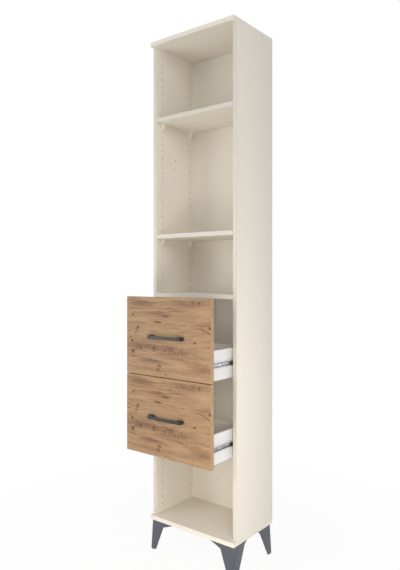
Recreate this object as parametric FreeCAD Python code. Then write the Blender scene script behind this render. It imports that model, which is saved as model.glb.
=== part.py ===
import FreeCAD, Part
import math
import os
from FreeCAD import Vector

# Tall narrow storage cabinet: open compartments above and below two drawers,
# on four folded steel legs. Millimetres, Z up from the floor, X to the right,
# Y from the front towards the wall. The drawers stand partly open, as stored.

# Carcass
body_width = 440.0
body_height = 2070.0
side_depth = 270.0
board = 18.0
leg_height = 130.0
back_thickness = 3.0
back_recess = 17.0
groove_depth = 6.0
groove_play = 0.2
edge_break = 0.6
shelf_play = 1.0
fixed_shelf_rise = 964.0

# Drilled rows for shelf supports
hole_pitch = 32.0
hole_radius = 2.5
hole_depth = 12.0
front_row_depth = 37.0
row_margin = 20.0
lowest_hole_rise = 52.0
shelf_hole_rise = 20.0
group_gap = 59.0
lower_space = 236.0
top_space = 309.0
hole_margin = 30.0
middle_row_depth = 126.0
middle_pair_rises = (1195.0, 1544.0)
rounding_share = 0.001
added_shelf_rise = 128.0

# Shelf supports
support_drop = 24.0
support_reach = 20.0
support_width = 12.0
support_plate = 2.2
support_web = 3.0
support_toe = 5.0
support_heel = 3.5
support_pin_length = 9.0
pin_play = 0.1

# Drawer fronts and boxes
front_thickness = 18.0
front_height = 315.0
front_joint = 3.0
front_reveal = 2.0
front_gap = 2.0
front_top_drop = 10.3
photo_opening = 144.0
box_height = 115.0
box_rise = 1.0
box_board = 12.0
box_back_drop = 12.0
box_back_inset = 12.0
box_slot = 4.0
box_bottom_rise = 12.0
box_bottom_thickness = 3.0

# Ball runners
runner_height = 20.0
runner_width = 10.0
runner_length = 240.0
runner_setback = 2.0
runner_sheet = 1.0
runner_bend = 1.6
runner_end_margin = 10.0
ball_radius = 1.75
race_play = 0.1
race_place = 5.8
race_lip_angle = 20.0
runner_hole_radius = 2.5
runner_hole_place = 92.0
runner_slot_place = 110.0
runner_slot_length = 24.0
runner_slot_width = 4.0
drawer_screw_place = 69.0
drawer_screw_spacing = 128.0

# Ball cages
cage_setback = 65.0
cage_sheet = 0.6
cage_play = 0.3
cage_nose_length = 30.0
cage_lip = 0.5
nose_plate = 1.5
balls_per_row = 4
ball_pitch = 15.0

# Bow handles
handle_holes = 160.0
handle_foot_out = 88.0
handle_foot_in = 62.0
handle_stand = 28.0
handle_end_stand = 22.0
handle_taper = 6.0
handle_throat = 4.0
handle_inner_stand = 24.1
handle_proud = 0.4
handle_bar = 6.5
handle_height = 13.4
handle_neck = 12.0
handle_edge = 1.2

# Folded legs
leg_inset = 7.0
leg_sheet = 3.0
leg_splay = 5.0
leg_tip_drop = 2.0
front_arm_reach = 118.0
front_arm_notch = 62.0
front_arm_notch_drop = 23.0
front_arm_foot = 28.0
side_arm_reach = 104.0
side_arm_notch = 81.0
side_arm_notch_drop = 16.0
side_arm_foot = 30.0
leg_bend = 4.0
leg_plate_reach = 70.0
leg_screw_near = 16.0
leg_screw_far = 42.0
glide_height = 5.0
glide_radius = 7.5
glide_round = 1.5
glide_stem_radius = 3.0
glide_stem_rise = 2.0
glide_centre = 8.2

# Wooden dowels
dowel_radius = 4.0
dowel_length = 30.0
dowel_in_face = 10.0
dowel_end_play = 0.5
panel_dowel_inset = 45.0
shelf_dowel_inset = 50.0
drawer_dowel_radius = 3.0
drawer_dowel_rises = (40.0, 95.0)

# Screws: head radius, head height, shank radius, length under the head
drill_play = 0.1
runner_screw = (3.0, 1.6, 1.5, 11.0)
handle_screw = (4.0, 2.4, 2.0, 28.0)
leg_screw = (3.6, 2.2, 1.75, 13.0)
head_top_share = 0.8

overrun = 5.0
facets = 6
glide_facets = 8


def pitches(length):
    """Whole hole pitches in a length."""
    return math.floor(length / hole_pitch + rounding_share)


# Places worked out from the sizes above
half_width = body_width / 2
half_inner = half_width - board
body_bottom = leg_height
side_bottom = body_bottom + board
body_top = body_bottom + body_height
side_top = body_top - board
cap_reach = front_thickness + front_gap
back_face = side_depth - back_recess - back_thickness
fixed_shelf_bottom = body_bottom + fixed_shelf_rise
fixed_shelf_top = fixed_shelf_bottom + board
back_row_reach = back_face - row_margin - front_row_depth
back_row_depth = front_row_depth + pitches(back_row_reach) * hole_pitch
front_pitch = front_height + front_joint
upper_front_bottom = fixed_shelf_top - front_top_drop - front_height
lower_front_bottom = upper_front_bottom - front_pitch
box_half = half_inner - runner_width
box_length = front_gap + runner_setback + runner_length
box_back_face = box_length - front_gap - box_back_inset - box_board
race_radius = ball_radius + race_play
race_rise = runner_height / 2 - runner_sheet - race_radius
cage_length = cage_nose_length + balls_per_row * ball_pitch
cage_rim = runner_height / 2 - runner_sheet - cage_play / 2
closed_face = -front_gap - front_thickness
centre_y = (side_depth + closed_face - photo_opening - handle_stand) / 2
drawer_bottoms = {"upper": upper_front_bottom, "lower": lower_front_bottom}
sides = {"left": -1, "right": 1}

# Shelf holes, lowest group first; the last hole of two groups carries a shelf
lower_group = body_bottom + lowest_hole_rise
middle_group = fixed_shelf_top + shelf_hole_rise
lower_support_room = lower_space - shelf_hole_rise - support_drop
lower_support_hole = middle_group + pitches(lower_support_room) * hole_pitch
upper_group = lower_support_hole + group_gap
upper_support_room = side_top - top_space - board - support_drop - upper_group
upper_support_hole = upper_group + pitches(upper_support_room) * hole_pitch
top_group = upper_support_hole + group_gap
lower_shelf_bottom = lower_support_hole + support_drop
upper_shelf_bottom = upper_support_hole + support_drop


def box_between(first, last):
    low = Vector(min(first.x, last.x), min(first.y, last.y), min(first.z, last.z))
    high = Vector(max(first.x, last.x), max(first.y, last.y), max(first.z, last.z))
    return Part.makeBox(high.x - low.x, high.y - low.y, high.z - low.z, low)


def board_between(first, last):
    """A board with its sharp edges broken."""
    block = box_between(first, last)
    return block.makeChamfer(edge_break, block.Edges)


def turned(stations, base, direction, count=facets):
    """A turning in flats: (distance, radius) stations along direction from base."""
    to_axis = FreeCAD.Rotation(Vector(0, 0, 1), direction)
    rings = []
    for distance, radius in stations:
        ring = []
        for k in range(count):
            angle = (k + 1 / 2) * 2 * math.pi / count
            corner = Vector(radius * math.cos(angle), radius * math.sin(angle), distance)
            ring.append(base + to_axis.multVec(corner))
        rings.append(ring)
    walls = [outline_face(rings[0])]
    for below, above in zip(rings, rings[1:]):
        for k in range(count):
            n = (k + 1) % count
            walls.append(outline_face([below[k], below[n], above[n], above[k]]))
    walls.append(outline_face(rings[-1]))
    solid = Part.Solid(Part.Shell(walls))
    if solid.Volume < 0:
        solid.reverse()
    return solid


def drilled(radius, depth, mouth, direction):
    """The cutter of a blind hole that starts at its mouth and runs inwards."""
    return turned([(-overrun, radius), (depth, radius)], mouth, direction)


def pan_screw(size, seat, direction):
    head_radius, head_height, shank_radius, length = size
    stations = [
        (-head_height, head_radius * head_top_share),
        (0, head_radius),
        (0, shank_radius),
        (length, shank_radius),
    ]
    return turned(stations, seat, direction)


def flush_screw(size, seat, direction):
    """A countersunk screw whose head ends level with seat."""
    head_radius, head_height, shank_radius, length = size
    stations = [(0, head_radius), (head_height, shank_radius), (length, shank_radius)]
    return turned(stations, seat, direction)


def flush_screw_hole(size, seat, direction):
    head_radius, head_height, shank_radius, length = size
    stations = [
        (-overrun, head_radius + drill_play),
        (0, head_radius + drill_play),
        (head_height, shank_radius + drill_play),
        (length + drill_play, shank_radius + drill_play),
    ]
    return turned(stations, seat, direction)


def cut_all(shape, cutters):
    return shape.cut(Part.makeCompound(cutters)) if cutters else shape


def outline_face(points):
    return Part.Face(Part.makePolygon(points + points[:1]))


def hole_heights():
    """Heights of the holes in one row, group by group."""
    groups = (
        (lower_group, lower_front_bottom - hole_margin),
        (middle_group, lower_support_hole),
        (upper_group, upper_support_hole),
        (top_group, side_top - hole_margin),
    )
    heights = []
    for start, limit in groups:
        heights += [start + k * hole_pitch for k in range(pitches(limit - start) + 1)]
    return heights


def shelf_hole_cutters(hand):
    """Shelf holes of one side panel: round where a further shelf or rail would go."""
    inner = hand * half_inner
    outward = Vector(hand, 0, 0)
    round_one = lower_group + pitches(added_shelf_rise) * hole_pitch
    cutters = []
    for y in (front_row_depth, back_row_depth):
        for z in hole_heights():
            mouth = Vector(inner, y, z)
            if z == round_one:
                start = mouth - outward * overrun
                cutters.append(Part.makeCylinder(hole_radius, hole_depth + overrun, start, outward))
            else:
                cutters.append(drilled(hole_radius, hole_depth, mouth, outward))
    for rise in middle_pair_rises:
        for z in (body_bottom + rise, body_bottom + rise + hole_pitch):
            cutters.append(drilled(hole_radius, hole_depth, Vector(inner, middle_row_depth, z), outward))
    return cutters


def panel_dowel_places(hand, way):
    """Dowels from a side panel's end into the top or bottom panel: seat, direction."""
    x = hand * (half_width - board / 2)
    z = side_top if way > 0 else side_bottom
    spots = (panel_dowel_inset, side_depth - panel_dowel_inset)
    return [(Vector(x, y, z), Vector(0, 0, way)) for y in spots]


def shelf_dowel_places(hand):
    """Dowels between the fixed shelf's ends and the side panels."""
    z = fixed_shelf_bottom + board / 2
    spots = (shelf_dowel_inset, back_face - shelf_dowel_inset)
    return [(Vector(hand * half_inner, y, z), Vector(hand, 0, 0)) for y in spots]


def carcass_dowel_places(hand):
    return panel_dowel_places(hand, 1) + panel_dowel_places(hand, -1) + shelf_dowel_places(hand)


def dowel(radius, seat, direction):
    """A dowel set into a board's face along direction, and back into the joining edge."""
    start = seat - direction * (dowel_length - dowel_in_face)
    return turned([(0, radius), (dowel_length, radius)], start, direction)


def dowel_hole(radius, seat, direction):
    start = seat - direction * (dowel_length - dowel_in_face + dowel_end_play)
    size = radius + drill_play
    return turned([(0, size), (dowel_length + 2 * dowel_end_play, size)], start, direction)


def side_panel(hand):
    """A side panel, with its shelf holes, groove and joint drillings."""
    inner = hand * half_inner
    outer_corner = Vector(hand * half_width, side_depth, side_top)
    panel = board_between(Vector(inner, 0, side_bottom), outer_corner)
    cutters = shelf_hole_cutters(hand)
    groove_rear = back_face + back_thickness + groove_play
    near = Vector(inner - hand * overrun, back_face - groove_play, side_bottom - overrun)
    far = Vector(inner + hand * groove_depth, groove_rear, side_top + overrun)
    cutters.append(box_between(near, far))
    cutters += [dowel_hole(dowel_radius, *place) for place in carcass_dowel_places(hand)]
    for name in drawer_bottoms:
        cutters += [flush_screw_hole(runner_screw, *place) for place in cabinet_screw_places(hand, name)]
    return cut_all(panel, cutters)


def cap_groove(z, depth_direction):
    """The groove that takes the back panel, in the top or bottom panel."""
    reach = half_inner + groove_depth
    return box_between(
        Vector(-reach, back_face - groove_play, z - depth_direction * overrun),
        Vector(reach, back_face + back_thickness + groove_play, z + depth_direction * groove_depth),
    )


def top_panel():
    far = Vector(half_width, side_depth, body_top)
    panel = board_between(Vector(-half_width, -cap_reach, side_top), far)
    cutters = [cap_groove(side_top, 1)]
    for hand in sides.values():
        cutters += [dowel_hole(dowel_radius, *place) for place in panel_dowel_places(hand, 1)]
    return cut_all(panel, cutters)


def bottom_panel():
    far = Vector(half_width, side_depth, side_bottom)
    panel = board_between(Vector(-half_width, -cap_reach, body_bottom), far)
    cutters = [cap_groove(side_bottom, -1)]
    for hand in sides.values():
        cutters += [dowel_hole(dowel_radius, *place) for place in panel_dowel_places(hand, -1)]
    shank = leg_screw[2] + drill_play
    for seat in all_leg_screw_seats():
        face = Vector(seat.x, seat.y, body_bottom)
        cutters.append(drilled(shank, leg_screw[3] - leg_sheet + drill_play, face, Vector(0, 0, 1)))
    return cut_all(panel, cutters)


def back_panel():
    reach = half_inner + groove_depth - groove_play
    bottom = side_bottom - groove_depth + groove_play
    top = side_top + groove_depth - groove_play
    return box_between(Vector(-reach, back_face, bottom), Vector(reach, back_face + back_thickness, top))


def fixed_shelf():
    """The shelf that ties the sides together above the drawers."""
    far = Vector(half_inner, back_face - groove_play, fixed_shelf_top)
    shelf = board_between(Vector(-half_inner, 0, fixed_shelf_bottom), far)
    cutters = []
    for hand in sides.values():
        cutters += [dowel_hole(dowel_radius, *place) for place in shelf_dowel_places(hand)]
    return cut_all(shelf, cutters)


def carcass_dowels():
    dowels = []
    for hand in sides.values():
        dowels += [dowel(dowel_radius, *place) for place in carcass_dowel_places(hand)]
    return Part.makeCompound(dowels)


def loose_shelf(bottom):
    half = half_inner - shelf_play
    return board_between(Vector(-half, 0, bottom), Vector(half, back_face - shelf_play, bottom + board))


def support_bracket(hand, y, shelf_bottom):
    """A moulded shelf support: a pin in the panel, a gusset and the plate under the shelf."""
    wall = hand * half_inner

    def at(reach, drop):
        return Vector(wall - hand * reach, y, shelf_bottom - drop)

    heel = support_drop + support_heel
    tip = [at(0, 0), at(support_reach, 0), at(support_reach, support_plate)]
    wedge = outline_face(tip + [at(support_toe, heel), at(0, heel)])
    wedge.translate(Vector(0, -support_width / 2, 0))
    body = wedge.extrude(Vector(0, support_width, 0))
    for way in (-1, 1):
        near = at(support_plate, support_plate)
        near.y += way * support_web / 2
        far = at(support_reach + overrun, support_drop - support_heel)
        far.y += way * support_width
        body = body.cut(box_between(near, far))
    start = Vector(wall, y, shelf_bottom - support_drop)
    size = hole_radius - pin_play
    pin = turned([(-support_plate, size), (support_pin_length, size)], start, Vector(hand, 0, 0))
    return body.fuse(pin).removeSplitter()


def shelf_supports(shelf_bottom):
    brackets = []
    for hand in sides.values():
        brackets += [support_bracket(hand, y, shelf_bottom) for y in (front_row_depth, back_row_depth)]
    return Part.makeCompound(brackets)


def leg_corner(hand_x, hand_y):
    """The point under the bottom panel where a leg's fold starts."""
    y = side_depth - leg_inset if hand_y > 0 else leg_inset - cap_reach
    return Vector(hand_x * (half_width - leg_inset), y, body_bottom)


def leg_point(hand_x, hand_y, u, v, drop):
    """A point u across and v deep from a leg's corner, and this far down."""
    corner = leg_corner(hand_x, hand_y)
    return Vector(corner.x - hand_x * u, corner.y - hand_y * v, corner.z - drop)


def leg_arm(hand_x, hand_y, across, sizes):
    """One arm of a leg: a tapered wing that leans out to the foot."""
    reach, notch, notch_drop, foot = sizes
    fall = leg_height - glide_height
    rim = [
        (0, 0),
        (reach, 0),
        (reach, leg_tip_drop),
        (notch, notch_drop),
        (foot - leg_splay, fall),
        (-leg_splay, fall),
    ]
    points = []
    for along, drop in rim:
        lean = -leg_splay * drop / fall
        u, v = (along, lean) if across else (lean, along)
        points.append(leg_point(hand_x, hand_y, u, v, drop))
    thickness = Vector(0, -hand_y * leg_sheet, 0) if across else Vector(-hand_x * leg_sheet, 0, 0)
    return outline_face(points).extrude(thickness)


def leg_plate(hand_x, hand_y, first, last, reach_u, reach_v, top):
    """A corner plate between two arms, one sheet thick."""
    corners = [(first, last), (first + reach_u, last), (first, last + reach_v)]
    points = [leg_point(hand_x, hand_y, u, v, top) for u, v in corners]
    return outline_face(points).extrude(Vector(0, 0, -leg_sheet))


def leg_screw_seats(hand_x, hand_y):
    spots = ((leg_screw_far, leg_screw_near), (leg_screw_near, leg_screw_far))
    return [leg_point(hand_x, hand_y, u, v, leg_sheet) for u, v in spots]


def all_leg_screw_seats():
    return [seat for x in (-1, 1) for y in (-1, 1) for seat in leg_screw_seats(x, y)]


def fold_edges(leg, hand_x, hand_y, inset):
    """The edges of a leg's fold, outside for no inset and inside for one sheet."""
    fall = leg_height - glide_height
    ends = [
        leg_point(hand_x, hand_y, inset, inset, 0),
        leg_point(hand_x, hand_y, inset - leg_splay, inset - leg_splay, fall),
    ]
    line = Part.makeLine(*ends)
    found = []
    for edge in leg.Edges:
        middle = edge.valueAt((edge.FirstParameter + edge.LastParameter) / 2)
        near = line.distToShape(Part.Vertex(middle))[0] < edge_break
        if near and edge.Length > leg_height / 2:
            found.append(edge)
    return found


def leg(hand_x, hand_y):
    """A leg folded from sheet steel: two tapered wings, a screw plate and a foot plate."""
    fall = leg_height - glide_height
    front_sizes = (front_arm_reach, front_arm_notch, front_arm_notch_drop, front_arm_foot)
    side_sizes = (side_arm_reach, side_arm_notch, side_arm_notch_drop, side_arm_foot)
    wings = leg_arm(hand_x, hand_y, True, front_sizes).fuse(leg_arm(hand_x, hand_y, False, side_sizes))
    wings = wings.removeSplitter()
    wings = wings.makeFillet(leg_bend, fold_edges(wings, hand_x, hand_y, 0))
    inner_fold = fold_edges(wings, hand_x, hand_y, leg_sheet)
    if inner_fold:
        wings = wings.makeFillet(leg_bend - leg_sheet, inner_fold)
    start = leg_sheet / 2
    low = start - leg_splay
    top = leg_plate(hand_x, hand_y, start, start, leg_plate_reach, leg_plate_reach, 0)
    foot_u = front_arm_foot - start
    foot_v = side_arm_foot - start
    foot = leg_plate(hand_x, hand_y, low, low, foot_u, foot_v, fall - leg_sheet)
    whole = wings.fuse([top, foot]).removeSplitter()
    cutters = []
    for seat in leg_screw_seats(hand_x, hand_y):
        cutters.append(drilled(leg_screw[2] + drill_play, leg_sheet + overrun, seat, Vector(0, 0, 1)))
    size = glide_stem_radius + drill_play
    bore = [(0, size), (glide_height + leg_sheet + glide_stem_rise, size)]
    cutters.append(turned(bore, glide_spot(hand_x, hand_y), Vector(0, 0, 1), glide_facets))
    return cut_all(whole, cutters)


def glide_spot(hand_x, hand_y):
    """The point on the floor under a leg's glide."""
    place = glide_centre - leg_splay
    return leg_point(hand_x, hand_y, place, place, leg_height)


def leg_glide(hand_x, hand_y):
    """A plastic glide: a disc with its lower edge broken, and a stem through the foot plate."""
    stations = [
        (0, glide_radius - glide_round),
        (glide_round, glide_radius),
        (glide_height, glide_radius),
        (glide_height, glide_stem_radius),
        (glide_height + leg_sheet + glide_stem_rise, glide_stem_radius),
    ]
    return turned(stations, glide_spot(hand_x, hand_y), Vector(0, 0, 1), glide_facets)


def leg_glides():
    return Part.makeCompound([leg_glide(x, y) for x in (-1, 1) for y in (-1, 1)])


def leg_screws():
    screws = [pan_screw(leg_screw, seat, Vector(0, 0, 1)) for seat in all_leg_screw_seats()]
    return Part.makeCompound(screws)


def runner_rise(name):
    return drawer_bottoms[name] + box_rise + box_height / 2


def runner_point(hand, name, x, y, z):
    """A point x in from the side panel's face, y deep, z above the runner's middle line."""
    return Vector(hand * (half_inner - x), y, runner_rise(name) + z)


def race_point(hand, name, radius, angle, flip):
    turn = math.radians(angle)
    x = race_place + radius * math.cos(turn)
    z = flip * (race_rise + radius * math.sin(turn))
    return runner_point(hand, name, x, 0, z)


def race_arc(hand, name, radius, first, last, flip):
    """A stretch of a ball race, about the ball's centre."""
    spots = [race_point(hand, name, radius, angle, flip) for angle in (first, (first + last) / 2, last)]
    return Part.Arc(*spots).toShape()


def line_through(spots):
    return [Part.makeLine(a, b) for a, b in zip(spots, spots[1:])]


def cabinet_half_profile(hand, name, flip):
    """Half of the wide channel's outline, from its back to its lip and back again."""
    half = runner_height / 2
    outer = race_radius + runner_sheet

    def at(x, z):
        return runner_point(hand, name, x, 0, flip * z)

    outside = [at(0, 0), at(0, half - runner_bend), at(runner_bend, half), at(race_place, half)]
    edges = line_through(outside)
    edges.append(race_arc(hand, name, outer, 90, -race_lip_angle, flip))
    edges += line_through([race_point(hand, name, r, -race_lip_angle, flip) for r in (outer, race_radius)])
    edges.append(race_arc(hand, name, race_radius, -race_lip_angle, 90, flip))
    top = half - runner_sheet
    inside = [at(race_place, top), at(runner_bend, top), at(runner_sheet, top - runner_sheet)]
    return edges + line_through(inside + [at(runner_sheet, 0)])


def drawer_half_profile(hand, name, flip):
    """Half of the narrow channel's outline, which runs between the balls."""
    outer = race_radius + runner_sheet
    top = race_rise - race_radius
    lip = 180 - race_lip_angle - 360

    def at(x, z):
        return runner_point(hand, name, x, 0, flip * z)

    edges = line_through([at(runner_width, 0), at(runner_width, top), at(race_place, top)])
    edges.append(race_arc(hand, name, race_radius, -90, lip, flip))
    edges += line_through([race_point(hand, name, r, lip, flip) for r in (race_radius, outer)])
    edges.append(race_arc(hand, name, outer, lip, -90, flip))
    inside = runner_width - runner_sheet
    low = top - runner_sheet
    return edges + line_through([at(race_place, low), at(inside, low), at(inside, 0)])


def channel(half_profile, hand, name):
    """A rolled channel: both halves of its outline, drawn out to its length."""
    edges = half_profile(hand, name, 1) + half_profile(hand, name, -1)
    wire = Part.Wire(Part.__sortEdges__(edges))
    solid = Part.Face(wire).extrude(Vector(0, runner_length, 0))
    solid.translate(Vector(0, runner_setback, 0))
    return solid.removeSplitter()


def cabinet_screw_places(hand, name):
    """Heads of the screws that hold the wide channel to the side panel."""
    reach = runner_setback + runner_length - runner_end_margin - front_row_depth
    spots = (front_row_depth, front_row_depth + pitches(reach) * hole_pitch)
    return [(runner_point(hand, name, runner_sheet, y, 0), Vector(hand, 0, 0)) for y in spots]


def drawer_screw_places(hand, name):
    """Heads of the screws that hold the narrow channel to the drawer side."""
    spots = (drawer_screw_place, drawer_screw_place + drawer_screw_spacing)
    x = runner_width - runner_sheet
    return [(runner_point(hand, name, x, y, 0), Vector(-hand, 0, 0)) for y in spots]


def cabinet_runner(hand, name):
    """The wide channel, screwed to the side panel."""
    body = channel(cabinet_half_profile, hand, name)
    places = cabinet_screw_places(hand, name)
    return cut_all(body, [flush_screw_hole(runner_screw, *place) for place in places])


def drawer_runner(hand, name):
    """The narrow channel, screwed to the drawer side, with its spare hole and slot."""
    body = channel(drawer_half_profile, hand, name)
    inward = Vector(-hand, 0, 0)
    cutters = [flush_screw_hole(runner_screw, *place) for place in drawer_screw_places(hand, name)]
    inside = runner_width - runner_sheet
    spare = runner_point(hand, name, inside, runner_hole_place, 0)
    cutters.append(drilled(runner_hole_radius, runner_sheet + drill_play, spare, inward))
    half_slot = runner_slot_width / 2
    slot_end = runner_slot_place + runner_slot_length
    near = runner_point(hand, name, inside - drill_play, runner_slot_place, -half_slot)
    far = runner_point(hand, name, runner_width + drill_play, slot_end, half_slot)
    cutters.append(box_between(near, far))
    return cut_all(body, cutters)


def ball_spots():
    """Depth and side of each ball: two rows behind the cage's nose."""
    start = cage_setback + cage_nose_length + ball_pitch / 2
    return [(start + k * ball_pitch, flip) for k in range(balls_per_row) for flip in (-1, 1)]


def cage_comb(hand, name):
    """The folded strip that holds both rows of balls in pockets open at its edges."""
    back = runner_sheet + cage_play
    wall = back + cage_sheet
    end = race_place + cage_lip
    bend = cage_rim - cage_sheet
    front = cage_setback + cage_nose_length
    outline = [
        (end, -cage_rim), (wall, -cage_rim), (back, -bend), (back, bend), (wall, cage_rim),
        (end, cage_rim), (end, bend), (wall, bend), (wall, -bend), (end, -bend),
    ]
    strip = outline_face([runner_point(hand, name, x, front, z) for x, z in outline])
    strip = strip.extrude(Vector(0, cage_length - cage_nose_length, 0))
    pocket = ball_radius + race_play
    pockets = []
    for y, flip in ball_spots():
        near = runner_point(hand, name, race_place - pocket, y - pocket, flip * (bend - cage_sheet))
        far = runner_point(hand, name, end + cage_sheet, y + pocket, flip * (cage_rim + cage_sheet))
        pockets.append(box_between(near, far))
    return cut_all(strip, pockets)


def cage_nose(hand, name):
    """The moulded end of a cage: a plate behind a block that fills the narrow channel."""
    back = runner_sheet + cage_play
    front = cage_setback + cage_nose_length
    wide = cage_rim - cage_sheet - cage_play
    tall = race_rise - race_radius - runner_sheet - cage_play
    plate = box_between(
        runner_point(hand, name, back, cage_setback, -wide),
        runner_point(hand, name, back + nose_plate, front, wide),
    )
    block = box_between(
        runner_point(hand, name, back, cage_setback, -tall),
        runner_point(hand, name, runner_width - runner_sheet - cage_play, front, tall),
    )
    return plate.fuse(block)


def ball_cage(hand, name):
    """The cage between the channels."""
    return cage_comb(hand, name).fuse(cage_nose(hand, name)).removeSplitter()


def ball(centre):
    """A bearing ball with twenty flats."""
    golden = (1 + math.sqrt(5)) / 2
    scale = ball_radius / math.sqrt(1 + golden * golden)
    corners = []
    for a in (-1, 1):
        for b in (-golden, golden):
            for x, y, z in ((0, a, b), (a, b, 0), (b, 0, a)):
                corners.append(Vector(x, y, z) * scale)
    side = 2 * scale
    flats = []
    for i, a in enumerate(corners):
        for j in range(i + 1, len(corners)):
            for k in range(j + 1, len(corners)):
                b, c = corners[j], corners[k]
                if max((a - b).Length, (b - c).Length, (c - a).Length) < side * (1 + 1 / facets):
                    flats.append(Part.Face(Part.makePolygon([a, b, c, a])))
    solid = Part.Solid(Part.Shell(flats))
    if solid.Volume < 0:
        solid.reverse()
    solid.translate(centre)
    return solid


def runner_balls(hand, name):
    spots = [runner_point(hand, name, race_place, y, flip * race_rise) for y, flip in ball_spots()]
    return Part.makeCompound([ball(spot) for spot in spots])


def cabinet_runner_screws():
    screws = []
    for hand in sides.values():
        for name in drawer_bottoms:
            screws += [flush_screw(runner_screw, *place) for place in cabinet_screw_places(hand, name)]
    return Part.makeCompound(screws)


def box_bottom_level(name):
    return drawer_bottoms[name] + box_rise


def box_groove(name):
    """The groove round the inside of a drawer that takes its bottom."""
    z = box_bottom_level(name) + box_bottom_rise
    reach = box_half - box_board + groove_depth
    return box_between(
        Vector(-reach, -front_gap - groove_depth, z - groove_play),
        Vector(reach, box_length - front_gap + overrun, z + box_bottom_thickness + groove_play),
    )


def drawer_dowel_places(hand, name):
    """Dowels that hold a drawer side to the front: the point on the front's rear face."""
    x = hand * (box_half - box_board / 2)
    low = box_bottom_level(name)
    return [(Vector(x, -front_gap, low + rise), Vector(0, -1, 0)) for rise in drawer_dowel_rises]


def drawer_dowels(name):
    dowels = []
    for hand in sides.values():
        dowels += [dowel(drawer_dowel_radius, *place) for place in drawer_dowel_places(hand, name)]
    return Part.makeCompound(dowels)


def drawer_front(name):
    """The decor front, with the handle's bores and the groove for the drawer bottom."""
    bottom = drawer_bottoms[name]
    half = half_width - front_reveal
    far = Vector(half, -front_gap, bottom + front_height)
    front = board_between(Vector(-half, -front_gap - front_thickness, bottom), far)
    cutters = [box_groove(name)]
    for hand in sides.values():
        cutters += [dowel_hole(drawer_dowel_radius, *place) for place in drawer_dowel_places(hand, name)]
        seat = Vector(hand * handle_holes / 2, -front_gap, handle_level(name))
        size = handle_screw[2] + drill_play
        cutters.append(drilled(size, front_thickness + overrun, seat, Vector(0, -1, 0)))
    return cut_all(front, cutters)


def drawer_side(hand, name):
    """A drawer side, grooved for the bottom and slotted for the back."""
    low = box_bottom_level(name)
    inner = hand * (box_half - box_board)
    far = Vector(hand * box_half, box_length - front_gap, low + box_height)
    side = box_between(Vector(inner, -front_gap, low), far)
    slot_rear = box_back_face + box_board + groove_play
    slot = box_between(
        Vector(inner - hand * overrun, box_back_face - groove_play, low - overrun),
        Vector(inner + hand * box_slot, slot_rear, low + box_height + overrun),
    )
    cutters = [box_groove(name), slot]
    cutters += [dowel_hole(drawer_dowel_radius, *place) for place in drawer_dowel_places(hand, name)]
    cutters += [flush_screw_hole(runner_screw, *place) for place in drawer_screw_places(hand, name)]
    return cut_all(side, cutters)


def drawer_back(name):
    """The back of a drawer: its ends sit in the sides' slots, and it takes the bottom's edge."""
    low = box_bottom_level(name)
    reach = box_half - box_board + box_slot - groove_play
    back = box_between(
        Vector(-reach, box_back_face, low),
        Vector(reach, box_back_face + box_board, low + box_height - box_back_drop),
    )
    z = low + box_bottom_rise
    groove = box_between(
        Vector(-reach - overrun, box_back_face - overrun, z - groove_play),
        Vector(reach + overrun, box_back_face + groove_depth, z + box_bottom_thickness + groove_play),
    )
    return back.cut(groove)


def drawer_bottom(name):
    z = box_bottom_level(name) + box_bottom_rise
    reach = box_half - box_board + groove_depth - groove_play
    fore = -front_gap - groove_depth + groove_play
    rear = box_back_face + groove_depth - groove_play
    return box_between(Vector(-reach, fore, z), Vector(reach, rear, z + box_bottom_thickness))


def drawer_runner_screws(name):
    screws = []
    for hand in sides.values():
        screws += [flush_screw(runner_screw, *place) for place in drawer_screw_places(hand, name)]
    return Part.makeCompound(screws)


def handle_level(name):
    return drawer_bottoms[name] + front_height / 2


def handle_bow(level):
    """The grip: a bar with broken edges, swept round a flat curve between the feet."""
    half = handle_foot_out - handle_taper
    rise = handle_stand - handle_end_stand
    radius = (half * half + rise * rise) / (2 * rise)
    centre = Vector(0, closed_face - handle_stand + radius, level)
    front = -radius
    rear = handle_bar - radius
    tall = handle_neck / 2
    rim = [(front, tall - handle_edge), (front + handle_edge, tall)]
    rim += [(rear - handle_edge, tall), (rear, tall - handle_edge)]
    rim += [(y, -z) for y, z in reversed(rim)]
    section = outline_face([centre + Vector(0, y, z) for y, z in rim])
    sweep = math.degrees(math.asin((handle_foot_in + handle_foot_out) / 2 / radius))
    section.rotate(centre, Vector(0, 0, 1), -sweep)
    return section.revolve(centre, Vector(0, 0, 1), 2 * sweep)


def handle_foot(hand, level):
    """A tapered foot that carries one end of the bow, with its free edges broken."""
    rim = [
        (handle_foot_in, 0),
        (handle_foot_out, 0),
        (handle_foot_out - handle_taper, handle_end_stand + handle_proud),
        (handle_foot_in + handle_throat, handle_inner_stand + handle_proud),
    ]
    low = level - handle_height / 2
    foot = outline_face([Vector(hand * x, closed_face - stand, low) for x, stand in rim])
    foot = foot.extrude(Vector(0, 0, handle_height))
    free = [edge for edge in foot.Edges if edge.BoundBox.YMin < closed_face - handle_edge]
    return foot.makeChamfer(handle_edge, free)


def drawer_handle(name):
    """A cast bow handle, threaded from behind for its two screws."""
    level = handle_level(name)
    body = handle_bow(level).fuse([handle_foot(hand, level) for hand in sides.values()]).removeSplitter()
    bores = []
    for hand in sides.values():
        seat = Vector(hand * handle_holes / 2, closed_face, level)
        depth = handle_screw[3] - front_thickness + drill_play
        bores.append(drilled(handle_screw[2] + drill_play, depth, seat, Vector(0, -1, 0)))
    return cut_all(body, bores)


def handle_screws(name):
    seats = [Vector(hand * handle_holes / 2, -front_gap, handle_level(name)) for hand in sides.values()]
    return Part.makeCompound([pan_screw(handle_screw, seat, Vector(0, -1, 0)) for seat in seats])


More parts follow.
